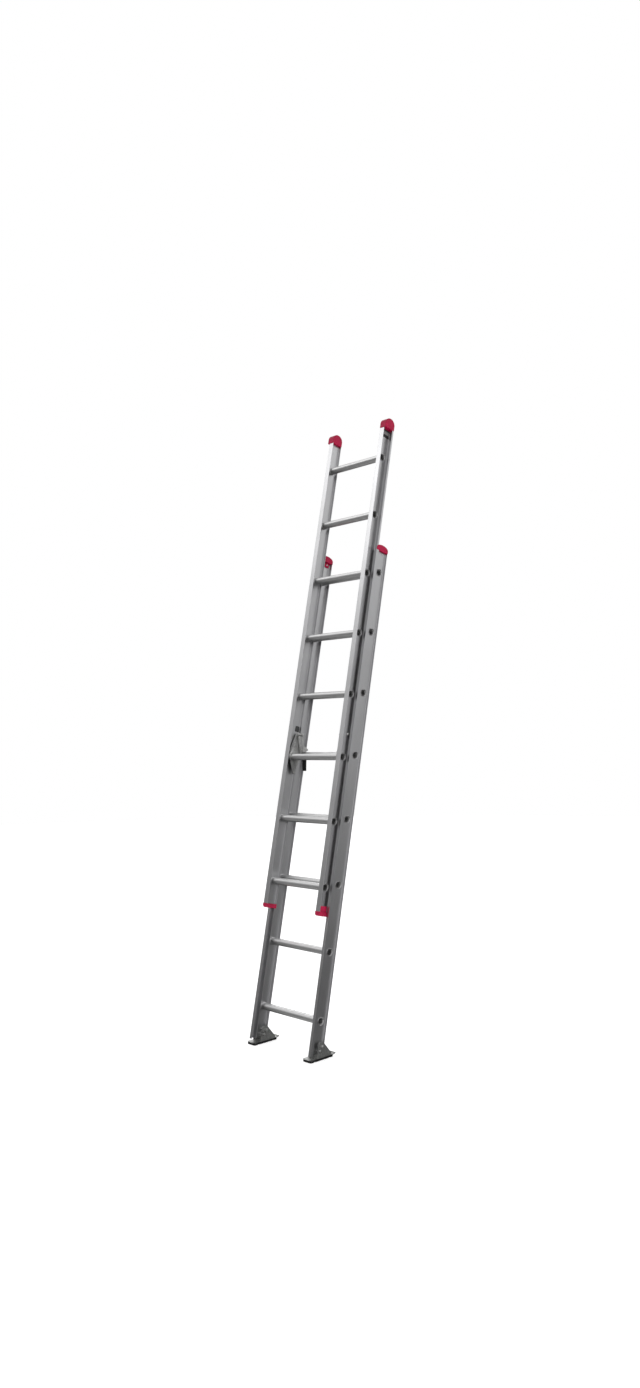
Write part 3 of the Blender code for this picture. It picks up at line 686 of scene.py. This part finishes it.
def add_base_top_cap(label, side):
    node = "base_top_cap_" + label
    low, high = node_box(node, RAIL)
    rail_low, rail_high = node_box("base_rail_" + label, RAIL)
    wall = side * (max(abs(low.x), abs(high.x)) - CAP_SKIN)
    cap = cap_blank(node, wall, 0.0, 0.0024, node + "_moulding")
    combine(cap, rail_room("base", label, low.z - BEYOND), "DIFFERENCE")
    fly_back = node_box("fly_rail_" + label, RAIL)[1].y + 0.0022
    way_side = max(abs(rail_low.x), abs(rail_high.x)) + CLEAR
    way_low, way_high = sorted((side * 0.15, side * way_side))
    way = add_box(bmesh.new(), (way_low, -0.5, low.z - BEYOND),
                  (way_high, fly_back, high.z + BEYOND), TOOL_EASE)
    combine(cap, way, "DIFFERENCE")
    tongue_x = side * (web_middle("base") - 0.0033)
    foot = [p for loop in section(node, RAIL, 0, tongue_x) for p in loop if p.y < low.z + 0.004]
    tongue = bmesh.new()
    add_box(tongue, (tongue_x - 0.0019, min(p.x for p in foot), low.z),
            (tongue_x + 0.0019, max(p.x for p in foot), rail_high.z + 0.004), 0.0008)
    join(cap, tongue)
    return dress(cap, "base_section", "red_end_cap", RED, node)


def add_fly_bottom_cap(label, side):
    node = "fly_bottom_cap_" + label
    low, high = node_box(node, RAIL)
    rail_low, rail_high = node_box("fly_rail_" + label, RAIL)
    wall = side * (min(abs(low.x), abs(high.x)) + CAP_SKIN)
    cap = cap_blank(node, wall, 0.0024, 0.0014, node + "_moulding")
    flange = max(abs(low.x), abs(high.x)) - 0.0013
    reach_low, reach_high = sorted((side * (abs(wall) + 0.0006), side * flange))
    pocket = add_box(bmesh.new(), (reach_low, rail_low.y - CLEAR, rail_low.z - CLEAR),
                     (reach_high, high.y + BEYOND, high.z + BEYOND), TOOL_EASE)
    combine(cap, pocket, "DIFFERENCE")
    lip_low, lip_high = sorted((side * (flange - 0.0017), side * (flange + BEYOND)))
    relief = add_box(bmesh.new(), (lip_low, rail_high.y - 0.0159, low.z - 0.01),
                     (lip_high, rail_high.y + 0.01, high.z + BEYOND), TOOL_EASE)
    combine(cap, relief, "DIFFERENCE")
    outer_web = web_middle("fly") + HALF_WEB + CLEAR
    tongue_low, tongue_high = sorted((side * outer_web, side * (flange - 0.0028)))
    tongue_x = (tongue_low + tongue_high) / 2
    top = [p for loop in section(node, RAIL, 0, tongue_x) for p in loop if p.y > high.z - 0.004]
    tongue = add_box(bmesh.new(), (tongue_low, min(p.x for p in top), low.z + 0.003),
                     (tongue_high, max(p.x for p in top), high.z), 0.0010)
    join(cap, tongue)
    return dress(cap, "fly_section", "red_end_cap", RED, node)


# --------------------------------------------------------------------------- shoes

def add_shoe_bracket(label):
    """The shoe's plate with its front corners rounded, and the two ears on it."""
    node = "shoe_bracket_" + label
    low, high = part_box(node)
    plan = rounded(box_loop((low.x, low.y), (high.x, high.y + 0.05)), PLATE_CORNER)
    profile = [rounded(loop, 0.0004) for loop in section(node, LEVEL, 0, (low.x + high.x) / 2)]
    plate = add_slab(bmesh.new(), profile, low.x, high.x, 0.0004)
    bracket = piece_from(plate, "shoe_plate_" + label, LEVEL)
    prism = add_slab(bmesh.new(), [plan], low.z - 0.01, high.z + 0.01, TOOL_EASE, across=False)
    combine(bracket, prism, "INTERSECT")
    ears = bmesh.new()
    for start in (low.x, high.x - SHOE_SHEET):
        loops = section(node, LEVEL, 0, start + SHOE_SHEET / 2)
        add_slab(ears, [rounded(loop, 0.0010) for loop in loops], start, start + SHOE_SHEET, 0.0006)
    join(bracket, ears)
    dress(bracket, "shoe_" + label, "shoe_steel", SHOE_STEEL, node)


def add_shoe_pad(label):
    """A sheet of rubber with treads under it, between the grooves of the CAD's sole."""
    node = "shoe_pad_" + label
    low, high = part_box(node)
    profile = section(node, LEVEL, 0, (low.x + high.x) / 2)[0]
    sole = sorted(p.x for p in profile if p.y < low.z + 0.0002)
    sheet = rounded(box_loop((low.x, low.y), (high.x, high.y)), PAD_CORNER)
    shape = add_slab(bmesh.new(), [sheet], low.z + 0.0018, high.z, 0.0004, across=False)
    for start, end in zip(sole[::2], sole[1::2]):
        corner = PAD_CORNER if start == sole[0] or end == sole[-1] else 0.0010
        add_slab(shape, [rounded(box_loop((low.x, start), (high.x, end)), corner)],
                 low.z, low.z + 0.0022, 0.0003, across=False)
    pad = piece_from(shape, "shoe_tread_" + label, LEVEL)
    dress(pad, "shoe_" + label, "shoe_rubber", RUBBER, node)


# --------------------------------------------------------------------------- locks

def plates(node, layers, fillet, name):
    """A piece made of plates across the ladder, each from the CAD's section at its own middle.

    Layers list (nearest to the middle of the ladder, furthest, ease, where to cut the section).
    """
    side = 1 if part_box(node)[0].x > 0 else -1
    shape = bmesh.new()
    for near, far, ease, cut in layers:
        low, high = sorted((side * near, side * far))
        loops = [rounded(loop, fillet) for loop in section(node, RAIL, 0, side * cut)]
        add_slab(shape, loops, low, high, ease)
    return piece_from(shape, name, RAIL)


def front_skirt(loops, near, far):
    """The turned-in front edge of a plate: a strip along the front of its outline."""
    outer = max(loops, key=lambda loop: abs(area(loop)))
    outer = outer if area(outer) > 0 else outer[::-1]
    middle = sum((p.x for p in outer)) / len(outer)
    highest, lowest = max(p.y for p in outer), min(p.y for p in outer)
    start = next(i for i, p in enumerate(outer) if p.y == highest)
    outer = outer[start:] + outer[:start]
    pulled = inset(outer, SKIRT_SHEET)
    kept = [i for i, p in enumerate(outer)
            if p.x < middle and lowest + 0.006 < p.y < highest - 0.004]
    strip = [outer[i] for i in kept] + [pulled[i] for i in reversed(kept)]
    low, high = sorted((near, far))
    return add_slab(bmesh.new(), [strip], low, high, 0.0004)


def add_lock(label, side):
    def reach(node):
        low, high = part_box(node)
        return sorted((abs(low.x), abs(high.x)))

    node = "lock_housing_" + label
    near, far = reach(node)
    middle = far - LOCK_SHEET / 2
    guard = plates(node, [(far - LOCK_SHEET, far, 0.0006, middle),
                          (near, far - 0.0008, 0.0008, near + 0.0009)],
                   0.0016, "lock_guard_" + label)
    outline = section(node, RAIL, 0, side * middle)
    join(guard, front_skirt(outline, side * (far - 0.0006), side * (far + SKIRT)))
    dress(guard, "fly_section", "lock_steel", LOCK_STEEL, node)

    node = "lock_pawl_" + label
    near, far = reach(node)
    pawl = plates(node, [(near, near + LOCK_SHEET, 0.0006, near + 0.0005),
                         (far - LOCK_SHEET, far, 0.0006, far - 0.0005),
                         (near + 0.0012, far - 0.0012, 0.0004, (near + far) / 2)],
                  0.0014, "lock_hook_" + label)
    dress(pawl, node, "lock_steel", LOCK_STEEL, node)

    node = "lock_finger_" + label
    near, far = reach(node)
    finger = plates(node, [(near, far, 0.0018, (near + far) / 2)], 0.0008, "lock_flap_" + label)
    dress(finger, node, "black_finger", BLACK, node)

    node = "lock_keeper_" + label
    near, far = reach(node)
    keeper = plates(node, [(near, far, 0.0005, (near + far) / 2)], 0.0025, "lock_tab_" + label)
    dress(keeper, "fly_section", "dark_keeper", KEEPER, node)
    add_spring(label)


def add_spring(label):
    """A coil round the lock bolt, between the rail's web and the guard."""
    node = "lock_spring_" + label
    low, high = node_box(node, RAIL)
    middle = (low + high) / 2
    radius = (high.z - low.z) / 2 - WIRE_RADIUS
    start, end = low.x + WIRE_RADIUS, high.x - WIRE_RADIUS
    curve = bpy.data.curves.new(node, "CURVE")
    curve.dimensions = "3D"
    curve.bevel_depth = WIRE_RADIUS
    curve.bevel_resolution = 3
    curve.use_fill_caps = True
    spline = curve.splines.new("POLY")
    steps = SPRING_TURNS * TURN_STEPS
    spline.points.add(steps)
    for i, point in enumerate(spline.points):
        angle = 2 * math.pi * i / TURN_STEPS
        along = start + (end - start) * i / steps
        point.co = (along, middle.y + radius * math.cos(angle),
                    middle.z + radius * math.sin(angle), 1.0)
    coil = bpy.data.objects.new("lock_coil_" + label, curve)
    bpy.context.scene.collection.objects.link(coil)
    evaluated = coil.evaluated_get(bpy.context.evaluated_depsgraph_get())
    mesh = bpy.data.meshes.new_from_object(evaluated)
    bpy.data.objects.remove(coil, do_unlink=True)
    piece = bpy.data.objects.new("lock_coil_" + label, mesh)
    bpy.context.scene.collection.objects.link(piece)
    piece.matrix_world = RAIL
    dress(piece, "fly_section", "fastener_steel", ZINC, node)


# ------------------------------------------------------------- bolts, nuts and label

def turned_profile(node, space, centre):
    """(distance along X, radius) down a turned CAD node, in order."""
    turn_back = space.inverted()
    found = set()
    for vertex in frame["nodes"][node].data.vertices:
        place = turn_back @ vertex.co
        radius = math.hypot(place.y - centre[0], place.z - centre[1])
        found.add((round(place.x, 5), round(radius, 5)))
    profile = [(min(x for x, _ in found), 0.0)]
    for x in sorted({x for x, _ in found}):
        radii = sorted({radius for at, radius in found if at == x and radius > 1e-5},
                       key=lambda radius: abs(radius - profile[-1][1]))
        distinct = [radius for i, radius in enumerate(radii)
                    if all(abs(radius - other) > 5e-5 for other in radii[:i])]
        profile += [(x, radius) for radius in distinct]
    return profile + [(max(x for x, _ in found), 0.0)]


def eased_profile(profile, ease):
    """Rounds the corners of a turned profile, leaving its two ends on the axis."""
    points = [Vector(point) for point in profile]
    eased = [points[0]]
    for before, here, after in zip(points, points[1:], points[2:]):
        come, go = before - here, after - here
        if come.length < 1e-5 or go.length < 1e-5:
            continue
        reach = min(ease, 0.45 * come.length, 0.45 * go.length)
        start, end = here + come.normalized() * reach, here + go.normalized() * reach
        for t in (0.0, 0.5, 1.0):
            eased.append((1 - t)**2 * start + 2 * t * (1 - t) * here + t**2 * end)
    return eased + [points[-1]]


def add_turned(node, body, slot, material, space, ease=0.0007):
    low, high = node_box(node, space)
    centre = ((low.y + high.y) / 2, (low.z + high.z) / 2)
    profile = eased_profile(turned_profile(node, space, centre), ease)
    piece = piece_from(revolve(bmesh.new(), profile, centre), node + "_turned", space)
    return dress(piece, body, slot, material, node)


def add_nut(node, body, space):
    low, high = node_box(node, space)
    loops = section(node, space, 0, (low.x + high.x) / 2)
    outer = max(loops, key=lambda loop: abs(area(loop)))
    loops = [loop if loop is outer else rounded(loop, 0.0) for loop in loops]
    shape = add_slab(bmesh.new(), loops, low.x, high.x, 0.0007)
    piece = piece_from(shape, node + "_hexagon", space)
    return dress(piece, body, "fastener_steel", ZINC, node)


def add_label():
    low, high = node_box("fly_label", RAIL)
    loops = [rounded(loop, 0.003) for loop in section("fly_label", RAIL, 0, (low.x + high.x) / 2)]
    film = piece_from(add_slab(bmesh.new(), loops, low.x, high.x, 0.0002), "fly_film", RAIL)
    dress(film, "fly_section", "blank_label", label_print_and_cap_shadow("label_print_and_cap_shadow", low.z, high.z), "fly_label")


# ------------------------------------------------------- floor, light and camera

def add_floor():
    """A plain pale floor, wide enough that its edge is never near the ladder."""
    shape = bmesh.new()
    bmesh.ops.create_circle(shape, cap_ends=True, segments=96, radius=14.0)
    floor = piece_from(shape, "floor", Matrix.Translation((0.0, 0.0, -0.0005)))
    material, nodes, links, shader, place = new_material("floor_paper")
    paper = noise(nodes, links, place, (1.5, 1.5, 1.5), 3.0)
    tone = ramp(nodes, links, paper, [(0.3, grey(0.88)), (0.7, grey(0.90))])
    links.new(tone, shader.inputs["Base Color"])
    shader.inputs["Roughness"].default_value = 0.95
    shader.inputs["Specular IOR Level"].default_value = 0.0
    shader.inputs["Emission Color"].default_value = (1.0, 1.0, 1.0, 1.0)
    shader.inputs["Emission Strength"].default_value = 0.62
    floor.data.materials.append(material)
    floor.visible_glossy = False


def add_surroundings():
    """A white backdrop for the camera, and a soft room, dim below, that lights the ladder."""
    world = bpy.data.worlds.new("studio")
    bpy.context.scene.world = world
    world.use_nodes = True
    nodes, links = world.node_tree.nodes, world.node_tree.links
    nodes.clear()
    place = nodes.new("ShaderNodeTexCoord").outputs["Generated"]
    parts = nodes.new("ShaderNodeSeparateXYZ")
    links.new(place, parts.inputs["Vector"])
    height = span(nodes, links, parts.outputs["Z"], 0.0, 1.0, -1.0, 1.0)
    room = ramp(nodes, links, height, [(position, grey(value)) for position, value in ROOM])
    for direction, width, glow in GLOWS:
        facing = nodes.new("ShaderNodeVectorMath")
        facing.operation = "DOT_PRODUCT"
        facing.inputs[1].default_value = Vector(direction).normalized()
        links.new(place, facing.inputs[0])
        edge = math.cos(math.radians(width))
        soft = span(nodes, links, facing.outputs["Value"], 0.0, 1.0, edge, 1.0)
        room = mix(nodes, links, "ADD", soft, room, (glow, glow, glow, 1.0))
    light = nodes.new("ShaderNodeBackground")
    links.new(room, light.inputs["Color"])
    backdrop = nodes.new("ShaderNodeBackground")
    backdrop.inputs["Color"].default_value = (1.0, 1.0, 1.0, 1.0)
    seen = nodes.new("ShaderNodeLightPath").outputs["Is Camera Ray"]
    chosen = nodes.new("ShaderNodeMixShader")
    links.new(seen, chosen.inputs[0])
    links.new(light.outputs[0], chosen.inputs[1])
    links.new(backdrop.outputs[0], chosen.inputs[2])
    links.new(chosen.outputs[0], nodes.new("ShaderNodeOutputWorld").inputs["Surface"])


def add_softbox(name, place, target, size, power):
    lamp = bpy.data.lights.new(name, "AREA")
    lamp.shape = "RECTANGLE"
    lamp.size, lamp.size_y = size
    lamp.energy = power
    light = bpy.data.objects.new(name, lamp)
    bpy.context.scene.collection.objects.link(light)
    light.location = place
    light.rotation_euler = (Vector(target) - Vector(place)).to_track_quat("-Z", "Y").to_euler()


def add_camera():
    """Stands to the front right of the ladder, near the height of its middle."""
    azimuth, elevation, roll = (math.radians(angle) for angle in CAMERA_ANGLES)
    back = Vector((math.sin(azimuth) * math.cos(elevation),
                   -math.cos(azimuth) * math.cos(elevation), math.sin(elevation)))
    right = (-back).cross(Vector((0, 0, 1))).normalized()
    up = back.cross(right)
    tilted_right = right * math.cos(roll) + up * math.sin(roll)
    tilted_up = up * math.cos(roll) - right * math.sin(roll)
    turn_to = Matrix((tilted_right, tilted_up, back)).transposed().to_4x4()
    lens = bpy.data.cameras.new("camera")
    lens.sensor_fit = "VERTICAL"
    lens.sensor_height = 36.0
    lens.lens = CAMERA_LENS
    camera = bpy.data.objects.new("camera", lens)
    bpy.context.scene.collection.objects.link(camera)
    place = Vector(CAMERA_TARGET) + back * CAMERA_DISTANCE
    camera.matrix_world = Matrix.Translation(place) @ turn_to
    bpy.context.scene.camera = camera


CAMERA_ANGLES = (45.117, -2.736, -0.739)     # azimuth, elevation and roll in degrees
CAMERA_TARGET = (-0.0401, 0.270, 1.6579)
CAMERA_DISTANCE = 4.8501
CAMERA_LENS = 25.497                         # millimetres on a 36 mm high sensor

# Brightness of the room by the height of a direction, from straight down (0) to straight up (1)
ROOM = ((0.0, 0.06), (0.40, 0.07), (0.48, 0.09), (0.52, 0.14), (0.58, 0.20), (0.70, 0.24),
        (0.85, 0.28))
# Large soft glows: (direction, half width in degrees, brightness at the middle)
GLOWS = (((-0.50, -0.50, 0.70), 38.0, 0.95),
         ((0.61, 0.61, 0.50), 40.0, 0.75),
         ((-0.62, 0.62, 0.48), 40.0, 1.7),
         ((0.56, -0.76, 0.32), 48.0, 0.40),
         ((0.97, 0.0, 0.22), 36.0, 1.3),
         ((-0.80, -0.10, -0.58), 48.0, 0.4))

for section_name in SECTIONS:
    for rung_number in range(1, RUNGS + 1):
        add_rung(section_name, rung_number)
for label_name, side_sign in SIDES:
    for section_name in SECTIONS:
        add_rail(section_name, label_name, side_sign)
    add_fly_top_cap(label_name, side_sign)
    add_base_top_cap(label_name, side_sign)
    add_fly_bottom_cap(label_name, side_sign)
    add_shoe_bracket(label_name)
    add_shoe_pad(label_name)
    add_lock(label_name, side_sign)
    for bolt in ("shoe_pivot_bolt_", "shoe_guide_stud_"):
        add_turned(bolt + label_name, "base_section", "fastener_steel", ZINC, LEVEL)
    add_turned("lock_bolt_" + label_name, "fly_section", "fastener_steel", ZINC, RAIL)
    add_turned("finger_pin_" + label_name, "fly_section", "fastener_steel", ZINC, RAIL, 0.0004)
    add_turned("base_cap_rivet_" + label_name, "base_section", "mill_aluminium", RUNG_METAL, RAIL,
               0.0003)
    for nut in ("shoe_pivot_nut_", "shoe_stud_nut_"):
        add_nut(nut + label_name, "base_section", LEVEL)
    add_nut("lock_nut_" + label_name, "fly_section", RAIL)
add_label()

add_floor()
add_surroundings()
add_softbox("key", (-2.4, -2.6, 5.2), (0.0, 0.2, 1.6), (2.4, 1.8), 18.0)
add_camera()
bpy.context.scene.view_settings.view_transform = "Standard"
